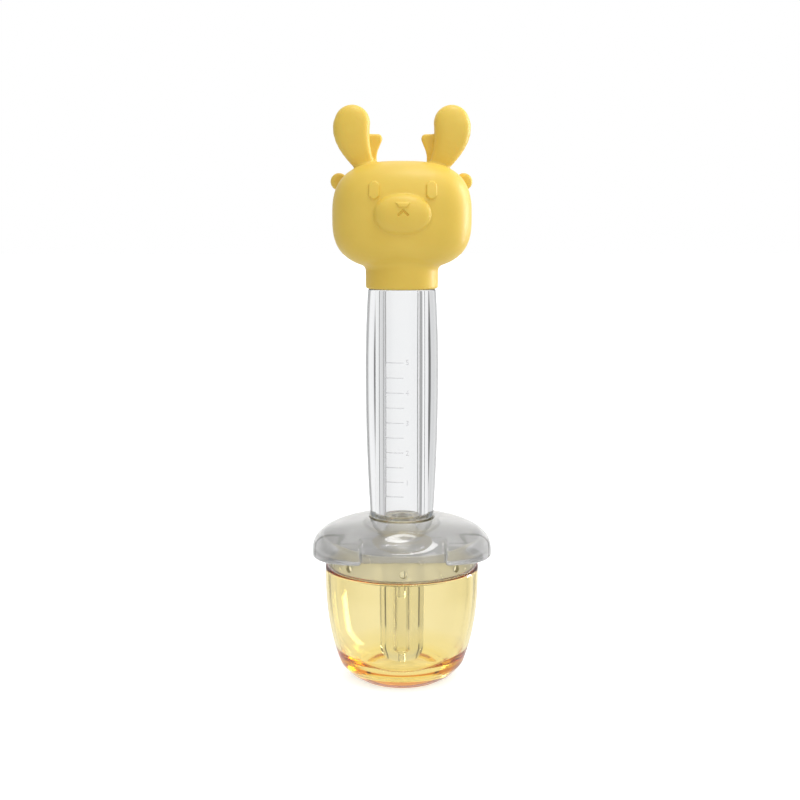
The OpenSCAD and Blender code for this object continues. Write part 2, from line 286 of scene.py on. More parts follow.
def around(part):
    """Copies of a part round the axis."""
    spots = add(drilling, "GeometryNodeMeshLine", {"Count": given["Count"], "Offset": (0, 0, 0)})
    number = add(drilling, "GeometryNodeInputIndex").outputs[0]
    step = maths(drilling, "DIVIDE", maths(drilling, "MULTIPLY", number, 2 * math.pi), given["Count"])
    turned_by = add(drilling, "ShaderNodeCombineXYZ", {
        "Z": maths(drilling, "ADD", step, given["First Angle"])}).outputs[0]
    copies = add(drilling, "GeometryNodeInstanceOnPoints", {
        "Points": spots.outputs[0], "Instance": part, "Rotation": turned_by}).outputs[0]
    return add(drilling, "GeometryNodeRealizeInstances", {"Geometry": copies}).outputs[0]


shanks = around(bit_part(shank.outputs[0], given["To"]))
mouths = around(bit_part(mouth.outputs[0], given["To"]))
bored = add(drilling, "GeometryNodeMeshBoolean", {
    "Mesh 1": given["Geometry"], "Mesh 2": shanks}, operation="DIFFERENCE").outputs[0]
flared = add(drilling, "GeometryNodeMeshBoolean", {
    "Mesh 1": bored, "Mesh 2": mouths}, operation="DIFFERENCE").outputs[0]
close_tree(drilling, flared, given["Material"])
print("drilling tree:", len(drilling.nodes), "nodes")

# %% [markdown]
# A tree's result is made a plain mesh before the piece joins the frame. A closed mesh whose
# faces point outwards has a positive volume, so the sign of the volume tells whether a piece
# came out inside out. Corners sharper than the given angle stay crisp, the rest is shaded
# smooth.

# %% Helpers that finish a piece


def grow(obj, tree, **values):
    """Runs a tree on a piece with these inputs and keeps the result as its plain mesh."""
    modifier = obj.modifiers.new(tree.name, "NODES")
    modifier.node_group = tree
    for socket in tree.interface.items_tree:
        key = socket.name.lower().replace(" ", "_")
        if socket.in_out == "INPUT" and key in values:
            modifier[socket.identifier] = values[key]
    graph = bpy.context.evaluated_depsgraph_get()
    mesh = bpy.data.meshes.new_from_object(obj.evaluated_get(graph), depsgraph=graph)
    obj.modifiers.clear()
    obj.data = mesh
    return obj


def volume(mesh):
    """Volume inside a closed mesh, negative where its faces point inwards, in cubic metres."""
    work = bmesh.new()
    work.from_mesh(mesh)
    inside = work.calc_volume(signed=True)
    work.free()
    return inside


def new_piece(name, mesh):
    """An object for a mesh, at the origin and in the scene."""
    obj = bpy.data.objects.new(name, mesh)
    bpy.context.collection.objects.link(obj)
    return obj


def settle(obj, *nodes, crisp=32):
    """Turns a piece right side out, shades it and puts it on the frame in place of its nodes."""
    if volume(obj.data) < 0:
        obj.data.flip_normals()
    obj.data.shade_smooth()
    obj.data.set_sharp_from_angle(angle=math.radians(crisp))
    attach(obj, BODY_OF[nodes[0]])
    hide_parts(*nodes)
    print(obj.name, len(obj.data.polygons), "faces,", round(volume(obj.data) * 1e9), "cubic mm")
    return obj


def turned(name, outline, material, segments=160):
    """A body of revolution from an outline of (radius, height) points in millimetres."""
    mesh = bpy.data.meshes.new(name)
    points = [(r * MM, 0, z * MM) for r, z in outline]
    mesh.from_pydata(points, [(i, i + 1) for i in range(len(points) - 1)], [])
    return grow(new_piece(name, mesh), turning, segments=segments, material=material)


def arc(centre, radius, start, end, count=6):
    """Points of an arc in an outline, from one angle to another, in degrees."""
    angles = np.radians(np.linspace(start, end, count))
    return [(centre[0] + radius * math.cos(a), centre[1] + radius * math.sin(a)) for a in angles]


# %% [markdown]
# ## The cup
# The cup is a thin-walled moulding. Its wall bows out from a knee above the foot to the rim: the
# distance that it falls short of the rim's radius grows as a power of the distance below the
# rim. The foot is a thick slab with a sloping heel, a shallow recess underneath and two low
# steps on the floor, and those are what collect the orange. Every corner is given its own few
# points, because a clear piece shows each edge as a line of light or shade.

# %% Make the cup
cup_rim_r, cup_h = cup_high[0], cup_high[2]
KNEE, KNEE_BELOW, KNEE_ABOVE = (20.3, 5.0), 0.25, 0.3
HEEL = (17.6, 1.9)
FOOT_R, FOOT_ROUND, RECESS_R, RECESS = 14.8, 0.5, 12.0, 0.8
CUP_WALL, WALL_POWER, LIP, LIP_DRAW = 1.5, 2.6, 0.3, 0.02
FLOOR_Z, STEP, STEP_R, FLOOR_R, FILLET_Z = 4.2, 0.5, 13.6, 15.8, 10.0
# The soft slope of the recess: distance in from its edge, and height there.
RECESS_SLOPE = [(3.5, RECESS), (2.2, 0.65), (1.0, 0.3), (0.4, 0.08), (0, 0)]
INNER_HEEL = [(18.0, 6.7), (17.4, 5.95), (16.8, 5.5)]


def cup_r(z):
    """Outside radius of the wall at a height."""
    return cup_rim_r - (cup_rim_r - KNEE[0]) * ((cup_h - z) / (cup_h - KNEE[1])) ** WALL_POWER


def step_down(r, z):
    """The edge of a floor step at a radius, from its upper height down by one step."""
    return [(r + 0.15, z), (r, z - 0.1), (r - 0.05, z - STEP + 0.1), (r - 0.2, z - STEP)]


outside = [(cup_r(z), z) for z in np.linspace(KNEE[1] + KNEE_ABOVE, cup_h - LIP, 40)]
inside = [(cup_r(z) - CUP_WALL, z) for z in np.linspace(cup_h - LIP, FILLET_Z, 36)]
cup = turned("cup_shell", [
    (0, RECESS), *[(RECESS_R - away, z) for away, z in RECESS_SLOPE],
    *arc((FOOT_R - FOOT_ROUND, FOOT_ROUND), FOOT_ROUND, -85, -20), HEEL,
    (KNEE[0] - KNEE_BELOW, KNEE[1] - KNEE_BELOW), *outside,
    *arc((cup_rim_r - LIP - LIP_DRAW, cup_h - LIP), LIP, 15, 90, 5),
    *arc((cup_rim_r - CUP_WALL + LIP, cup_h - LIP), LIP, 90, 165, 5), *inside,
    *INNER_HEEL, *step_down(FLOOR_R, FLOOR_Z + 2 * STEP), *step_down(STEP_R, FLOOR_Z + STEP),
    (0, FLOOR_Z),
], amber_plastic)
settle(cup, "cup")

# %% [markdown]
# ## The vent ring and its seal
# The ring's plug drops into the rim of the cup, the band above it carries eight vents, and the
# web on top carries the teat. A thin gasket lies on the rim under the band.

# %% Make the ring and the seal
plug_r, band_r = 23.2, ring_high[0]
band_z, web_top = seal_high[2], ring_high[2]
BAND_WALL, WEB, WEB_HOLE_R, BEVEL = 1.3, 1.2, 7.6, 0.3
RING_FILLET, SLOPE_TOP, SLOPE_FOOT = 0.5, 0.1, 0.4
plug_z = ring_low[2]
ring = turned("vent_ring_body", [
    (plug_r - BAND_WALL, plug_z), (plug_r - BEVEL, plug_z), (plug_r, plug_z + BEVEL),
    (plug_r, band_z), *arc((band_r - BEVEL, band_z + BEVEL), BEVEL, -90, 0, 4),
    *arc((band_r - BEVEL, web_top - BEVEL), BEVEL, 0, 90, 4),
    (WEB_HOLE_R, web_top), (WEB_HOLE_R, web_top - WEB), (band_r - BAND_WALL - RING_FILLET, web_top - WEB),
    *arc((band_r - BAND_WALL - RING_FILLET, web_top - WEB - RING_FILLET), RING_FILLET, 90, 0, 4),
    (band_r - BAND_WALL, band_z + SLOPE_TOP), (plug_r - BAND_WALL, band_z - SLOPE_FOOT),
    (plug_r - BAND_WALL, plug_z),
], pale_plastic)
VENTS, VENT_R, VENT_Z, VENT_FLARE, VENT_DEPTH = 8, 1.2, 40.0, 0.55, 3
grow(ring, drilling, count=VENTS, hole_radius=VENT_R * MM, flare=VENT_FLARE * MM,
     **{"from": (band_r - VENT_DEPTH) * MM}, to=band_r * MM, height=VENT_Z * MM, tilt=0.0,
     first_angle=-math.pi / 2, material=pale_plastic)
settle(ring, "vent_ring")

SEAL_ROUND, SEAL_GAP, SEAL_SLACK = 0.2, 0.02, 0.05
seal_in, seal_out = plug_r + SEAL_SLACK, seal_high[0]
seal_foot, seal_top = seal_low[2] + SEAL_GAP, seal_high[2] - SEAL_GAP
seal = turned("cup_gasket", [
    (seal_in, seal_foot),
    *arc((seal_out - SEAL_ROUND, seal_foot + SEAL_ROUND), SEAL_ROUND, -90, 0, 4),
    *arc((seal_out - SEAL_ROUND, seal_top - SEAL_ROUND), SEAL_ROUND, 0, 90, 4),
    (seal_in, seal_top), (seal_in, seal_foot),
], clear_silicone)
settle(seal, "cup_seal")

# %% [markdown]
# ## The teat
# A straight silicone finger with a round tip. A channel runs down its middle from a funnel that
# takes the cone of the barrel, and ends in a small outlet in the tip and one on each side.

# %% Make the teat
tip_z = teat_low[2]
flange_r = teat_high[0]
TIP_R, ROOT_R, TIP_ROUND = 7.1, 7.5, 4.2
CHANNEL_R, OUTLET_R, CHANNEL_FOOT, CHANNEL_TAPER, NICK = 2.0, 0.8, 3.7, 1.2, 0.2
FUNNEL_ROOT_R, FUNNEL_R, FUNNEL_FILLET, FUNNEL_DRAW, FUNNEL_RIM = 8.4, 10.4, 0.5, 0.05, 1.5
FLANGE_H, FLANGE_GAP, ROOT_GAP = 1.2, 0.02, 0.05
CONE_Z, CONE_TOP_R, CONE_LOW_R, SOCKET_GAP = barrel_low[2], 9.2, 5.8, 0.3
teat = turned("teat_body", [
    (OUTLET_R, tip_z), *arc((TIP_R - TIP_ROUND, tip_z + TIP_ROUND), TIP_ROUND, -88, 0, 14),
    (ROOT_R, web_top - ROOT_GAP), (flange_r - BEVEL, web_top + FLANGE_GAP),
    *arc((flange_r - BEVEL, web_top + BEVEL + FLANGE_GAP), BEVEL, -90, 0, 4),
    *arc((flange_r - BEVEL, web_top + FLANGE_H - BEVEL), BEVEL, 0, 90, 4),
    (FUNNEL_ROOT_R + FUNNEL_FILLET, web_top + FLANGE_H),
    (FUNNEL_ROOT_R, web_top + FLANGE_H + FUNNEL_FILLET),
    (FUNNEL_R - FUNNEL_DRAW, seat_z - FUNNEL_RIM),
    *arc((FUNNEL_R - FUNNEL_DRAW - NICK, seat_z - NICK), NICK, 0, 90, 4),
    (CONE_TOP_R + SOCKET_GAP, seat_z), (CONE_LOW_R + SOCKET_GAP, CONE_Z - SOCKET_GAP),
    (CHANNEL_R + NICK, CONE_Z - SOCKET_GAP), (CHANNEL_R, CONE_Z - SOCKET_GAP - NICK),
    *[(CHANNEL_R, z) for z in np.linspace(CONE_Z - 4, tip_z + CHANNEL_FOOT, 6)],
    (OUTLET_R, tip_z + CHANNEL_FOOT - CHANNEL_TAPER), (OUTLET_R, tip_z),
], clear_silicone)
SIDE_OUTLETS, SIDE_TILT, SIDE_Z, SIDE_FLARE = 2, math.radians(35), 3.4, 0.05
grow(teat, drilling, count=SIDE_OUTLETS, hole_radius=OUTLET_R * MM, flare=SIDE_FLARE * MM,
     **{"from": 0.0}, to=ROOT_R / 2 * MM, height=(tip_z + SIDE_Z) * MM, tilt=SIDE_TILT,
     first_angle=0.0, material=clear_silicone)
settle(teat, "teat")

# %% [markdown]
# ## The barrel and the nozzle
# The barrel is a thick tube whose outside bows gently round its belly, like a lens: that is why
# the bore looks wider than it is. A cone under it plugs the teat, and a neck on top carries the
# bulb. The nozzle is pressed in the outlet and hangs down the teat's channel.

# %% Make the barrel and the nozzle
belly_r, neck_top = barrel_high[0], barrel_high[2]
BELLY_Z, BOW_ABOVE, BOW_BELOW = 100.0, 400.0, 740.0
BORE_R, BORE_FLOOR, OUTLET_BORE_R, NECK_R, SHOULDER = 5.78, 53.9, 3.4, 8.4, 0.5
BORE_FILLET, BARREL_GAP, COLLAR_GAP = 0.6, 0.1, 0.05


def barrel_r(z):
    """Outside radius of the barrel at a height."""
    return belly_r - (z - BELLY_Z) ** 2 / (2 * (BOW_ABOVE if z > BELLY_Z else BOW_BELOW))


foot_r, shoulder_r = barrel_r(seat_z), barrel_r(shoulder_z)
barrel = turned("barrel_tube", [
    (OUTLET_BORE_R, CONE_Z), (CONE_LOW_R, CONE_Z), (CONE_TOP_R, seat_z + BARREL_GAP),
    (foot_r - SHOULDER, seat_z + BARREL_GAP),
    *arc((foot_r - SHOULDER, seat_z + SHOULDER + BARREL_GAP), SHOULDER, -80, 0, 5),
    *[(barrel_r(z), z) for z in np.linspace(seat_z + 1.2, shoulder_z - 1.0, 48)],
    *arc((shoulder_r - SHOULDER, shoulder_z - SHOULDER - COLLAR_GAP), SHOULDER, 5, 90, 5),
    (NECK_R, shoulder_z - COLLAR_GAP), (NECK_R, neck_top - SHOULDER), (NECK_R - SHOULDER, neck_top),
    (BORE_R + NICK, neck_top), (BORE_R, neck_top - NICK),
    *[(BORE_R, z) for z in np.linspace(neck_top - 4, BORE_FLOOR + BORE_FILLET + 0.1, 30)],
    *arc((BORE_R - BORE_FILLET, BORE_FLOOR + BORE_FILLET), BORE_FILLET, -10, -90, 5),
    (OUTLET_BORE_R + NICK, BORE_FLOOR), (OUTLET_BORE_R, BORE_FLOOR - NICK), (OUTLET_BORE_R, CONE_Z),
], clear_plastic)
settle(barrel, "barrel")

STEM_R, STEM_BORE_R, STEM_POINT, HEAD_GAP, HEAD_TAPER = 1.93, 0.85, 0.6, 0.05, 1
nozzle_z, nozzle_top = nozzle_low[2], nozzle_high[2]
head_r = OUTLET_BORE_R - HEAD_GAP
nozzle = turned("nozzle_stem", [
    (STEM_BORE_R, nozzle_z), (STEM_R - NICK, nozzle_z), (STEM_R, nozzle_z + STEM_POINT),
    *[(STEM_R, z) for z in np.linspace(nozzle_z + 3, CONE_Z + HEAD_GAP, 6)],
    (head_r, CONE_Z + HEAD_GAP), (head_r, nozzle_top), (head_r - BEVEL, nozzle_top),
    (STEM_BORE_R, CONE_Z + HEAD_TAPER), (STEM_BORE_R, nozzle_z),
], clear_plastic, segments=64)
settle(nozzle, "nozzle")

# %% [markdown]
# ## The graduations
# Raised lines and numerals stand a tenth of a millimetre proud of the barrel. They repeat up a
# bowed surface, so Geometry Nodes lay them out flat and then wrap them: each point keeps its X
# and Z, and its Y becomes its depth under the barrel's own bow at that height. The ticks are
# copies of one bar on a line of points. The numerals are one block of text whose line spacing
# is two graduations.

# %% Build the wrapping tree
wrapping, given = new_tree(
    "wrapping", ("Belly Radius", "Float"), ("Belly Height", "Float"), ("Bow Above", "Float"),
    ("Bow Below", "Float"), ("Material", "Material"))
flat = add(wrapping, "ShaderNodeSeparateXYZ", {
    "Vector": add(wrapping, "GeometryNodeInputPosition").outputs[0]}).outputs
above = maths(wrapping, "SUBTRACT", flat["Z"], given["Belly Height"])
bow = add(wrapping, "GeometryNodeSwitch", {
    "Switch": maths(wrapping, "GREATER_THAN", above, 0.0),
    "False": given["Bow Below"], "True": given["Bow Above"]}, input_type="FLOAT").outputs[0]
drop = maths(wrapping, "DIVIDE", maths(wrapping, "MULTIPLY", above, above),
             maths(wrapping, "MULTIPLY", bow, 2))
radius = maths(wrapping, "SUBTRACT", maths(wrapping, "SUBTRACT", given["Belly Radius"], drop), flat["Y"])
depth = maths(wrapping, "SQRT", maths(
    wrapping, "SUBTRACT", maths(wrapping, "MULTIPLY", radius, radius),
    maths(wrapping, "MULTIPLY", flat["X"], flat["X"])))
wrapped_at = add(wrapping, "ShaderNodeCombineXYZ", {
    "X": flat["X"], "Y": maths(wrapping, "MULTIPLY", depth, -1), "Z": flat["Z"]}).outputs[0]
wrapped = add(wrapping, "GeometryNodeSetPosition", {
    "Geometry": given["Geometry"], "Position": wrapped_at}).outputs[0]
close_tree(wrapping, wrapped, given["Material"])
BOW = {"belly_radius": belly_r * MM, "belly_height": BELLY_Z * MM, "bow_above": BOW_ABOVE * MM,
       "bow_below": BOW_BELOW * MM}
print("wrapping tree:", len(wrapping.nodes), "nodes")

# %% [markdown]
# The scale itself is one upright line with ten bars. Drawing eleven boxes by hand would work,
# but a tree that copies one bar onto a line of points keeps the pitch in a single input.

# %% Build the ruling tree
ruling, given = new_tree(
    "ruling", ("Count", "Int"), ("Pitch", "Float"), ("Left", "Float"), ("Length", "Float"),
    ("Line", "Float"), ("Low", "Float"), ("Relief", "Float"), ("Material", "Material"))
half_line = maths(ruling, "DIVIDE", given["Line"], 2)
spots = add(ruling, "GeometryNodeMeshLine", {
    "Count": given["Count"],
    "Start Location": add(ruling, "ShaderNodeCombineXYZ", {
        "X": maths(ruling, "ADD", given["Left"], maths(ruling, "DIVIDE", given["Length"], 2)),
        "Z": given["Low"]}).outputs[0],
    "Offset": add(ruling, "ShaderNodeCombineXYZ", {"Z": given["Pitch"]}).outputs[0]}).outputs[0]
tick = add(ruling, "GeometryNodeMeshCube", {
    "Size": add(ruling, "ShaderNodeCombineXYZ", {
        "X": given["Length"], "Y": given["Relief"], "Z": given["Line"]}).outputs[0],
    "Vertices X": 12, "Vertices Y": 2, "Vertices Z": 2}).outputs[0]
tick_copies = add(ruling, "GeometryNodeInstanceOnPoints", {"Points": spots, "Instance": tick}).outputs[0]
tall = maths(ruling, "MULTIPLY", given["Pitch"], maths(ruling, "SUBTRACT", given["Count"], 1))
spine = add(ruling, "GeometryNodeMeshCube", {
    "Size": add(ruling, "ShaderNodeCombineXYZ", {
        "X": given["Line"], "Y": given["Relief"],
        "Z": maths(ruling, "ADD", tall, given["Line"])}).outputs[0],
    "Vertices X": 2, "Vertices Y": 2, "Vertices Z": 40}).outputs[0]
spine_place = add(ruling, "GeometryNodeTransform", {
    "Geometry": spine,
    "Translation": add(ruling, "ShaderNodeCombineXYZ", {
        "X": maths(ruling, "SUBTRACT", given["Left"], half_line),
        "Z": maths(ruling, "ADD", given["Low"], maths(ruling, "DIVIDE", tall, 2))}).outputs[0],
}).outputs[0]
both = add(ruling, "GeometryNodeJoinGeometry")
ruling.links.new(tick_copies, both.inputs[0])
ruling.links.new(spine_place, both.inputs[0])
close_tree(ruling, both.outputs[0], given["Material"])
print("ruling tree:", len(ruling.nodes), "nodes")

# %% [markdown]
# The ruled lines take their ends from the box of the CAD node, so the pitch follows from it.

# %% Make the scale
LINE, RELIEF = 0.26, 0.2
low_line, top_line = lines_low[2] + LINE / 2, lines_high[2] - LINE / 2
TICKS = 10
pitch = (top_line - low_line) / (TICKS - 1)
scale = grow(new_piece("scale_ticks", bpy.data.meshes.new("scale_ticks")), ruling,
             count=TICKS, pitch=pitch * MM, left=(lines_low[0] + LINE) * MM,
             length=(lines_high[0] - lines_low[0] - LINE) * MM, line=LINE * MM,
             low=low_line * MM, relief=RELIEF * MM, material=scale_relief)
grow(scale, wrapping, material=scale_relief, **BOW)
settle(scale, "scale_lines")
print("graduations every", round(pitch, 2), "mm")

# %% [markdown]
# The numerals are set in Blender's own font and run 5 down to 1, because text reads downwards
# and the scale counts upwards.

# %% Build the lettering tree and make the numerals
NUMERAL_SIZE = 2.3
lettering, given = new_tree(
    "lettering", ("Height", "Float"), ("Step", "Float"), ("Thickness", "Float"),
    ("Material", "Material"))
text = add(lettering, "GeometryNodeStringToCurves", {
    "String": "5\n4\n3\n2\n1", "Size": given["Height"],
    "Line Spacing": maths(lettering, "DIVIDE", given["Step"], given["Height"])}).outputs[0]
letters = add(lettering, "GeometryNodeRealizeInstances", {"Geometry": text}).outputs[0]
filled = add(lettering, "GeometryNodeFillCurve", {"Curve": letters}).outputs[0]
solid = add(lettering, "GeometryNodeExtrudeMesh", {
    "Mesh": filled, "Offset Scale": given["Thickness"], "Individual": False}).outputs[0]
back = add(lettering, "GeometryNodeFlipFaces", {"Mesh": filled}).outputs[0]
sides = add(lettering, "GeometryNodeJoinGeometry")
lettering.links.new(solid, sides.inputs[0])
lettering.links.new(back, sides.inputs[0])
whole = add(lettering, "GeometryNodeMergeByDistance", {"Geometry": sides.outputs[0], "Distance": WELD})
close_tree(lettering, whole.outputs[0], given["Material"])

numerals = grow(new_piece("scale_figures", bpy.data.meshes.new("scale_figures")), lettering,
                height=NUMERAL_SIZE * MM, step=2 * pitch * MM, thickness=RELIEF * MM, material=scale_relief)
flat_points = np.array([v.co[:] for v in numerals.data.vertices])
text_low, text_high = flat_points.min(0), flat_points.max(0)
upright = np.empty_like(flat_points)
room = numerals_high - numerals_low
fit = (room[2] * MM) / (text_high[1] - text_low[1])
upright[:, 0] = numerals_low[0] * MM + (flat_points[:, 0] - text_low[0]) * fit
upright[:, 1] = RELIEF / 2 * MM - (flat_points[:, 2] - text_low[2])
upright[:, 2] = numerals_low[2] * MM + (flat_points[:, 1] - text_low[1]) * fit
numerals.data.vertices.foreach_set("co", upright.astype(np.float32).ravel())
grow(numerals, wrapping, material=scale_relief, **BOW)
settle(numerals, "scale_numerals")

# %% [markdown]
# ## Soft mouldings
# The shield and the bulb are free forms with smooth junctions. They are described by signed
# distances: a function that is negative inside the form, positive outside and zero on its skin.
# Distances join easily. The lower of two is a union, the higher an intersection, and a rounded
# lower or higher gives the fillet that a moulding has. Blender's OpenVDB library turns the
# sampled field into a closed skin of quads.

# %% Helpers for distance fields
VAST, TINY = 1e9, 1e-6


def low_of(a, b, round_by):
    """Union of two forms with a fillet."""
    share = np.maximum(round_by - np.abs(a - b), 0) / round_by
    return np.minimum(a, b) - share * share * round_by / 4


def high_of(a, b, round_by):
    """Intersection of two forms with a rounded edge."""
    return -low_of(-a, -b, round_by)


def outline_distance(outline, r, z):
    """Distance to a closed outline in radius and height, negative inside."""
    nearest = np.full(np.broadcast(r, z).shape, VAST)
    inside = np.zeros(nearest.shape, bool)
    for (r0, z0), (r1, z1) in zip(outline, outline[1:] + outline[:1]):
        dr, dz = r1 - r0, z1 - z0
        along = np.clip(((r - r0) * dr + (z - z0) * dz) / (dr * dr + dz * dz), 0, 1)
        gap = (r - r0 - along * dr) ** 2 + (z - z0 - along * dz) ** 2
        nearest = np.minimum(nearest, gap)
        if dz:
            crossed = ((z0 > z) != (z1 > z)) & (r < r0 + dr * (z - z0) / dz)
            inside ^= crossed
    return np.where(inside, -1, 1) * np.sqrt(nearest)


def skin(name, low, high, pitch, distance, material):
    """A closed mesh on the zero of a distance function, sampled on a grid in millimetres."""
    axes = [np.arange(a - 3 * pitch, b + 3 * pitch, pitch) for a, b in zip(low, high)]
    field = distance(*np.meshgrid(*axes, indexing="ij", sparse=True))
    grid = openvdb.FloatGrid(3 * pitch)
    grid.copyFromArray(np.ascontiguousarray(field, dtype=np.float32))
    points, quads = grid.convertToQuads(0)
    corner = np.array([axis[0] for axis in axes])
    points = (points * pitch + corner) * MM
    mesh = bpy.data.meshes.new(name)
    mesh.from_pydata(points.tolist(), [], quads.tolist())
    mesh.materials.append(material)
    return new_piece(name, mesh)


# %% [markdown]
# ## The shield
# A soft dome over the mouthpiece. Its core is an oval dome whose outline from the side is a
# superellipse, and a shallow scoop in front and behind leaves room for the nose and the chin.
# Two wings stand out at the sides. Each has an upright inner end, and its crest rises towards
# the front and the back. The lower edge follows a saddle. Underneath, a flat pocket sits over
# the ring's web, and the funnel of the teat comes up through the middle. Modelling this by
# hand would need many fillets on curved edges, and the distances give them for free.

# %% Make the shield
CORE_POWER, WING_POWER, SHIELD_STEPS = 2.35, 2.9, 24
CORE_INSET = 0.45
wing_r, core_r = shield_high[0], shield_high[1] - CORE_INSET
CORE_Z, WING_Z, WING_TOP, SKIRT, WING_GAP = 42.6, 40.6, 48.4, 6.0, 13.0
WING_ROUND, WING_RISE, FILLET = 1.2, 0.85, 0.6
SCOOP_R, SCOOP_Y, SCOOP_Z, SCOOP_WIDE, SCOOP_ROUND = 7.6, 24.5, 55.0, 0.5, 2.0
SADDLE_R, SADDLE_TOP, LIP_ROUND = 128.0, 43.8, 1.0
POCKET_GAP, POCKET_TALL, POCKET_ROUND, HOLE_ROUND, TOP_ROUND = 0.2, 0.8, 0.5, 0.4, 0.5
FAR = 5.0


def dome_tall(wide, base, power):
    """Height of a dome that passes through the seat of the barrel at the funnel."""
    return (seat_z - base) / (1 - (FUNNEL_R / wide) ** power) ** (1 / power)


def dome(wide, tall, base, power):
    """Outline of a dome with an upright skirt under it."""
    quarter = np.radians(np.linspace(0, 90, SHIELD_STEPS))
    rise = [(wide * math.sin(a) ** (2 / power), base + tall * math.cos(a) ** (2 / power))
            for a in quarter]
    return [(-FAR, base + tall), *rise, (wide, base - SKIRT), (-FAR, base - SKIRT)]


def shield_distance(x, y, z):
    """Distance to the shield's skin."""
    r = np.sqrt(x * x + y * y)
    core_tall = dome_tall(core_r, CORE_Z, CORE_POWER)
    oval_r = np.sqrt((x * core_r / wing_r) ** 2 + y * y)
    core = outline_distance(dome(core_r, core_tall, CORE_Z, CORE_POWER), oval_r, z)
    scoop = SCOOP_R - np.sqrt((x * SCOOP_WIDE) ** 2 + (np.abs(y) - SCOOP_Y) ** 2 + (z - SCOOP_Z) ** 2)
    core = high_of(core, scoop, SCOOP_ROUND)
    wing_z = WING_Z + (z - WING_Z) / (1 + WING_RISE * np.abs(y) / wing_r)
    wings = outline_distance(dome(wing_r, WING_TOP - WING_Z, WING_Z, WING_POWER), r, wing_z)
    wings = high_of(wings, WING_GAP - np.abs(x) + 0 * y + 0 * z, WING_ROUND)
    form = low_of(core, wings, FILLET)
    saddle = SADDLE_R - np.sqrt(x * x + (z - SADDLE_TOP + SADDLE_R) ** 2) + 0 * y
    form = high_of(form, saddle, LIP_ROUND)
    hollow = dome(band_r + POCKET_GAP, POCKET_TALL, web_top, CORE_POWER)
    form = high_of(form, -outline_distance(hollow, r, z), POCKET_ROUND)
    hole = FUNNEL_R + POCKET_GAP - r
    form = high_of(form, hole + 0 * z, HOLE_ROUND)
    return high_of(form, z - seat_z + 0 * r, TOP_ROUND)


SHIELD_GRID = 0.4
shield = skin("shield_dome", shield_low, shield_high, SHIELD_GRID, shield_distance, grey_silicone)
settle(shield, "shield", crisp=60)

# %% [markdown]
# ## The bulb
# The head is a rounded block: a superellipse from the front and, with a rounder power, from
# above. The collar, antlers, prongs, ears and muzzle are joined to it with small fillets. An
# antler is a chain of tapered rods on a smooth curve, a little flattened, with a plate for its
# prong. The inside is the head drawn in by the wall, open through the neck.

# %% Describe the bulb
HEAD_WIDE, HEAD_TOP = 21.95, 167.0
head_d = bulb_high[1]
HEAD_Z, HEAD_LOW = 149.6, 133.3
BROW_POWER, JAW_POWER, GIRTH_POWER = 2.85, 2.85, 2.6
COLLAR_R, COLLAR_TOP, WALL = 11.5, 139.3, 2.6
LOBE = [(-15.6, 178.7, 5.6), (-15.6, 176.0, 5.6), (-15.1, 172.7, 5.1), (-13.7, 169.3, 4.0),
        (-11.8, 166.4, 3.2), (-10.6, 164.2, 3.0)]
LOBE_STATIONS = 12
LOBE_FLAT, LOBE_POWER = 1.25, 2.7
EAR, EAR_R, EAR_THICK = (-20.0, 8.0, 160.9), 2.8, 2.8
MUZZLE_AT, MUZZLE, MUZZLE_POWER = (0.0, -16.5, 150.3), (8.8, 4.0, 6.1), 2.1
PRONG_STEM = [(-12.0, 164.0), (-7.9, 164.0), (-7.9, 171.0), (-12.0, 171.0)]
PRONG_TOP = [(-12.0, 168.0), (-8.0, 169.3), (-6.1, 173.8), (-6.3, 174.9), (-7.1, 175.5), (-12.0, 175.6)]
PRONG_Y, PRONG_HALF, PLATE_ROUND = 2.9, 1.5, 1.0
COLLAR_ROUND, COLLAR_FILLET, EAR_ROUND, EAR_FILLET = 0.8, 1.6, 1.6, 0.5
PRONG_FILLET, ANTLER_FILLET, ROOT_FILLET, MUZZLE_FILLET = 0.6, 0.5, 0.6, 0.5
NECK_SLACK, INSIDE_ROUND = 0.1, 0.4


def rounded_block(x, y, z, power_top, power_low):
    """Distance to the head's outer form, close to true near the skin."""
    tall = np.where(z > HEAD_Z, HEAD_TOP - HEAD_Z, HEAD_Z - HEAD_LOW)
    power = np.where(z > HEAD_Z, power_top, power_low)
    across, along = np.abs(x) / HEAD_WIDE, np.abs(y) / head_d
    girth = (across ** GIRTH_POWER + along ** GIRTH_POWER) ** (1 / GIRTH_POWER)
    reach = (girth ** power + (np.abs(z - HEAD_Z) / tall) ** power) ** (1 / power) + TINY
    away = np.sqrt(x * x + y * y + (z - HEAD_Z) ** 2)
    return away * (reach - 1) / reach


def stations(knots, count):
    """Even stations on a smooth curve through a few discs (x, z, radius)."""
    at, even = np.linspace(0, 1, len(knots)), np.linspace(0, 1, count)
    return np.array([np.polyval(np.polyfit(at, column, 3), even) for column in np.array(knots).T]).T


def tapered(x, y, z, a, b):
    """Distance to a tapered rod between two discs (x, z, radius), flattened from front to back."""
    run, rise = b[0] - a[0], b[1] - a[1]
    px, pz = x - a[0], z - a[1]
    along = np.clip((px * run + pz * rise) / (run * run + rise * rise), 0, 1)
    across = np.hypot(px - along * run, pz - along * rise)
    reach = (across ** LOBE_POWER + (np.abs(y) * LOBE_FLAT) ** LOBE_POWER) ** (1 / LOBE_POWER)
    return reach - (a[2] + (b[2] - a[2]) * along)


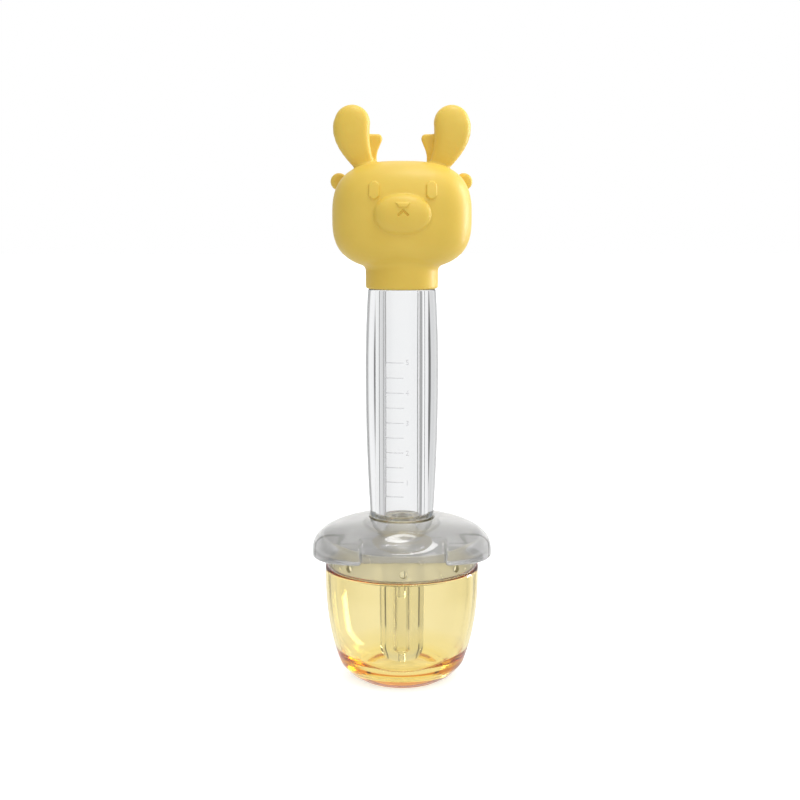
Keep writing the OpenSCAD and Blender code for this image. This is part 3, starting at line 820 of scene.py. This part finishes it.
def plate(x, y, z, outline, y_mid, half):
    """Distance to a convex plate with rounded edges, its outline in X and Z."""
    face = np.full(np.broadcast(x, z).shape, -VAST)
    for (x0, z0), (x1, z1) in zip(outline, outline[1:] + outline[:1]):
        size = math.hypot(x1 - x0, z1 - z0)
        face = np.maximum(face, ((x - x0) * (z1 - z0) - (z - z0) * (x1 - x0)) / size)
    return high_of(face + 0 * y, np.abs(y - y_mid) - half, PLATE_ROUND)


def bulb_distance(x, y, z):
    """Distance to the bulb's skin, outside and inside."""
    head = rounded_block(x, y, z, BROW_POWER, JAW_POWER)
    r = np.sqrt(x * x + y * y)
    ends = np.maximum(shoulder_z + COLLAR_GAP - z, z - COLLAR_TOP)
    collar = high_of(r - COLLAR_R + 0 * z, ends + 0 * r, COLLAR_ROUND)
    form = low_of(head, collar, COLLAR_FILLET)
    side = -np.abs(x)
    path = stations(LOBE, LOBE_STATIONS)
    lobe = np.minimum.reduce([tapered(side, y, z, a, b) for a, b in zip(path, path[1:])])
    prong = low_of(plate(side, y, z, PRONG_STEM, PRONG_Y, PRONG_HALF),
                   plate(side, y, z, PRONG_TOP, PRONG_Y, PRONG_HALF), PRONG_FILLET)
    antler = low_of(lobe, prong, ANTLER_FILLET)
    form = low_of(form, antler, ROOT_FILLET)
    ear_r = np.sqrt((side - EAR[0]) ** 2 + (z - EAR[2]) ** 2)
    ear = high_of(ear_r - EAR_R + 0 * y, np.abs(y - EAR[1]) - EAR_THICK / 2 + 0 * ear_r, EAR_ROUND)
    form = low_of(form, ear, EAR_FILLET)
    mx, my, mz = [np.abs(p - c) / s for p, c, s in zip((x, y, z), MUZZLE_AT, MUZZLE)]
    reach = (mx ** MUZZLE_POWER + my ** MUZZLE_POWER + mz ** MUZZLE_POWER) ** (1 / MUZZLE_POWER) + TINY
    away = np.sqrt(x * x + (y - MUZZLE_AT[1]) ** 2 + (z - MUZZLE_AT[2]) ** 2)
    form = low_of(form, away * (reach - 1) / reach, MUZZLE_FILLET)
    neck = np.maximum(r - NECK_R - NECK_SLACK, z - COLLAR_TOP)
    return high_of(form, -np.minimum(head + WALL, neck), INSIDE_ROUND)


BULB_GRID = 0.45
bulb = skin("bulb_head", bulb_low, bulb_high, BULB_GRID, bulb_distance, yellow_silicone)
print("bulb skin:", len(bulb.data.polygons), "quads")

# %% [markdown]
# The eyes, the nose and the mouth are finer than the grid. They are put in afterwards, the way
# a sculptor adds detail to a rough form: the skin is divided only where they sit, and its
# points are pushed out or in by a height that depends on the distance to each feature's edge.

# %% Cut the face into the bulb
EYE_AT, EYE_HALF, EYE_CORNER, EYE_LIFT, EYE_BEVEL = (8.75, 157.6), (1.8, 2.9), 1.15, 0.8, 0.45
NOSE_Z, NOSE_HALF, NOSE_FOOT, NOSE_TALL, NOSE_LIFT, NOSE_BEVEL = 153.1, 2.6, 1.3, 1.9, 0.6, 0.5
MOUTH_Z, MOUTH_REACH, MOUTH_DEPTH, MOUTH_HALF, MOUTH_BEVEL = 151.5, 1.9, 0.6, 0.16, 0.3
MARGIN, MOUTH_ROOM = 1, 2.6


def ease(t):
    """Runs softly from 0 to 1."""
    t = np.clip(t, 0, 1)
    return t * t * (3 - 2 * t)


def relief(x, z):
    """Height of the face's features over the skin, at a point seen from the front."""
    dx, dz = np.abs(np.abs(x) - EYE_AT[0]), np.abs(z - EYE_AT[1])
    corner = (dx + dz - sum(EYE_HALF) + EYE_CORNER) / math.sqrt(2)
    eye = np.maximum.reduce([dx - EYE_HALF[0], dz - EYE_HALF[1], corner])
    slope = (NOSE_HALF - NOSE_FOOT) / NOSE_TALL
    flank = (np.abs(x) - NOSE_HALF + slope * (NOSE_Z + NOSE_TALL / 2 - z)) / math.hypot(1, slope)
    nose = np.maximum(flank, np.abs(z - NOSE_Z) - NOSE_TALL / 2)
    along = np.clip((np.abs(x) + (MOUTH_Z - z)) / 2, 0, MOUTH_REACH / math.sqrt(2))
    mouth = np.hypot(np.abs(x) - along, MOUTH_Z - z - along) - MOUTH_HALF
    return (EYE_LIFT * ease(-eye / EYE_BEVEL) + NOSE_LIFT * ease(-nose / NOSE_BEVEL)
            - MOUTH_DEPTH * ease(1 - mouth / MOUTH_BEVEL))


def near_feature(centre):
    """Whether a face of the skin lies under one of the features."""
    x, y, z = centre / MM
    at_eye = (abs(abs(x) - EYE_AT[0]) < EYE_HALF[0] + MARGIN
              and abs(z - EYE_AT[1]) < EYE_HALF[1] + MARGIN)
    at_nose = (abs(x) < NOSE_HALF + MARGIN
               and MOUTH_Z - MOUTH_ROOM < z < NOSE_Z + NOSE_TALL / 2 + MARGIN)
    return y < -head_d / 2 and (at_eye or at_nose)


work = bmesh.new()
work.from_mesh(bulb.data)
face_edges = {e for f in work.faces if near_feature(f.calc_center_median()) and f.normal.y < 0
              for e in f.edges}
bmesh.ops.subdivide_edges(work, edges=list(face_edges), cuts=3, use_grid_fill=True)
work.to_mesh(bulb.data)
work.free()
points = np.array([v.co[:] for v in bulb.data.vertices]) / MM
normals = np.array([n.vector[:] for n in bulb.data.vertex_normals])
front = (points[:, 1] < -head_d / 2) & (normals[:, 1] < 0)
points[front, 1] -= relief(points[front, 0], points[front, 2])
bulb.data.vertices.foreach_set("co", (points * MM).astype(np.float32).ravel())
bulb.data.update()
settle(bulb, "bulb", crisp=70)

# %% [markdown]
# ## The set
# A plain pale floor, and soft light all round. Clear pieces are shaped by what they bend, so the
# surroundings are bright behind the object, grey at its sides and broken by narrow dark strips:
# the strips draw the edges of the bore, the grey draws the outer edges. The floor is seen by
# the camera only, because through the clear pieces it would hide those surroundings. Light that
# is turned back inside a clear body counts as a glossy bounce, so the glossy limit is raised
# with the others, or the foot of the cup would go black.

# %% Floor and surroundings
FLOOR_HALF, FLOOR_GLOW, BOUNCES = 6.0, 0.62, 48
floor_mesh = bpy.data.meshes.new("floor")
floor_mesh.from_pydata(
    [(-FLOOR_HALF, -FLOOR_HALF, 0), (FLOOR_HALF, -FLOOR_HALF, 0), (FLOOR_HALF, FLOOR_HALF, 0),
     (-FLOOR_HALF, FLOOR_HALF, 0)], [], [(0, 1, 2, 3)])
floor = new_piece("floor", floor_mesh)
paper = bpy.data.materials.new("paper")
paper.use_nodes = True
paper_shader = paper.node_tree.nodes["Principled BSDF"].inputs
paper_shader["Base Color"].default_value = (0.93, 0.93, 0.93, 1)
paper_shader["Roughness"].default_value = 0.9
paper_shader["Emission Color"].default_value = (1, 1, 1, 1)
paper_shader["Emission Strength"].default_value = FLOOR_GLOW
floor_mesh.materials.append(paper)
floor.visible_diffuse = floor.visible_glossy = floor.visible_transmission = False

scene = bpy.context.scene
scene.view_settings.view_transform = "Standard"
scene.cycles.max_bounces = BOUNCES
scene.cycles.transmission_bounces = BOUNCES
scene.cycles.glossy_bounces = BOUNCES
world = bpy.data.worlds.new("surroundings")
scene.world = world
world.use_nodes = True
sky = world.node_tree
sky.nodes.clear()

# Brightness of the surroundings by the angle from straight behind, to the right, in degrees.
TONES = [(-180, 0.80), (-140, 0.72), (-110, 0.50), (-95, 0.35), (-72, 0.35), (-66, 0.70), (-38, 0.78),
         (-37, 0.15), (-32, 0.15), (-31, 0.95), (31, 1.0), (32, 0.08), (36, 0.08), (37, 1.0),
         (54, 1.0), (57, 0.40), (95, 0.40), (115, 0.75), (140, 0.85), (180, 0.80)]
direction = add(sky, "ShaderNodeTexCoord").outputs["Generated"]
heading = add(sky, "ShaderNodeSeparateXYZ", {"Vector": direction}).outputs
azimuth = maths(sky, "ARCTAN2", heading["X"], heading["Y"])
share = maths(sky, "ADD", maths(sky, "DIVIDE", azimuth, 2 * math.pi), 0.5)
ring_of_tones = add(sky, "ShaderNodeValToRGB", {"Fac": share})
stops = ring_of_tones.color_ramp.elements
for angle, tone in TONES[1:-1]:
    stops.new(angle / 360 + 0.5).color = (tone, tone, tone, 1)
stops[0].color = stops[-1].color = (TONES[0][1],) * 3 + (1,)
overhead = add(sky, "ShaderNodeMapRange", {
    "Value": heading["Z"], "From Min": 0.35, "From Max": 0.9, "To Min": 0.0, "To Max": 0.25},
    interpolation_type="SMOOTHSTEP").outputs["Result"]
below = add(sky, "ShaderNodeMapRange", {
    "Value": heading["Z"], "From Min": -0.40, "From Max": -0.24, "To Min": 0.92, "To Max": 0.0},
    interpolation_type="SMOOTHSTEP").outputs["Result"]
glow = maths(sky, "ADD", maths(sky, "MAXIMUM", ring_of_tones.outputs["Color"], below), overhead)
seen = add(sky, "ShaderNodeLightPath").outputs["Is Camera Ray"]
light = add(sky, "ShaderNodeBackground", {
    "Color": (1, 1, 1, 1), "Strength": maths(sky, "MAXIMUM", glow, seen)})
add(sky, "ShaderNodeOutputWorld", {"Surface": light.outputs[0]})
print("surroundings:", len(TONES), "tones round the horizon")

# %% [markdown]
# Three soft boxes finish the light. A tall one at the right and slightly behind draws the bright
# edge down the antlers, the cheek and the collar. It is linked to the bulb and the cup, so that
# it lights nothing else. A key from the front right and a small one above give the highlights.

# %% Lights


def soft_box(name, place, aim, width, height, power):
    """A rectangular soft light at a place, turned to face a point."""
    data = bpy.data.lights.new(name, "AREA")
    data.shape = "RECTANGLE"
    data.size, data.size_y, data.energy = width, height, power
    lamp = bpy.data.objects.new(name, data)
    lamp.location = place
    lamp.rotation_euler = (Vector(aim) - Vector(place)).to_track_quat("-Z", "Y").to_euler()
    bpy.context.collection.objects.link(lamp)
    return lamp


middle = (0, 0, bulb_high[2] / 2 * MM)
rim = soft_box("rim_box", (0.55, 0.26, 0.20), (0, 0, 0.12), 0.16, 0.6, 3.4)
rim_lit = bpy.data.collections.new("rim_lit")
rim_lit.objects.link(bulb)
rim_lit.objects.link(cup)
rim.light_linking.receiver_collection = rim_lit
soft_box("key_box", (0.35, -0.55, 0.60), middle, 0.3, 0.3, 0.65)
soft_box("top_box", (0.10, -0.05, 0.65), (0, 0, 0.05), 0.2, 0.2, 0.9)

# %% [markdown]
# ## The camera
# A lens a little longer than a normal one, level with the head and tipped down a little, a
# touch to the left of the face.

# %% Camera
CAMERA_FAR, CAMERA_UP, CAMERA_SIDE = 0.400, 0.147, math.radians(-1.0)
AIM_UP, AIM_LEFT = 0.0913, 0.0006
camera_data = bpy.data.cameras.new("camera")
camera_data.lens, camera_data.sensor_width = 56.4, 36.0
camera = bpy.data.objects.new("camera", camera_data)
camera.location = (CAMERA_FAR * math.sin(CAMERA_SIDE), -CAMERA_FAR * math.cos(CAMERA_SIDE), CAMERA_UP)
look = Vector((-AIM_LEFT, 0, AIM_UP)) - camera.location
camera.rotation_euler = look.to_track_quat("-Z", "Y").to_euler()
bpy.context.collection.objects.link(camera)
scene.camera = camera
print("camera:", [round(value, 3) for value in camera.location])
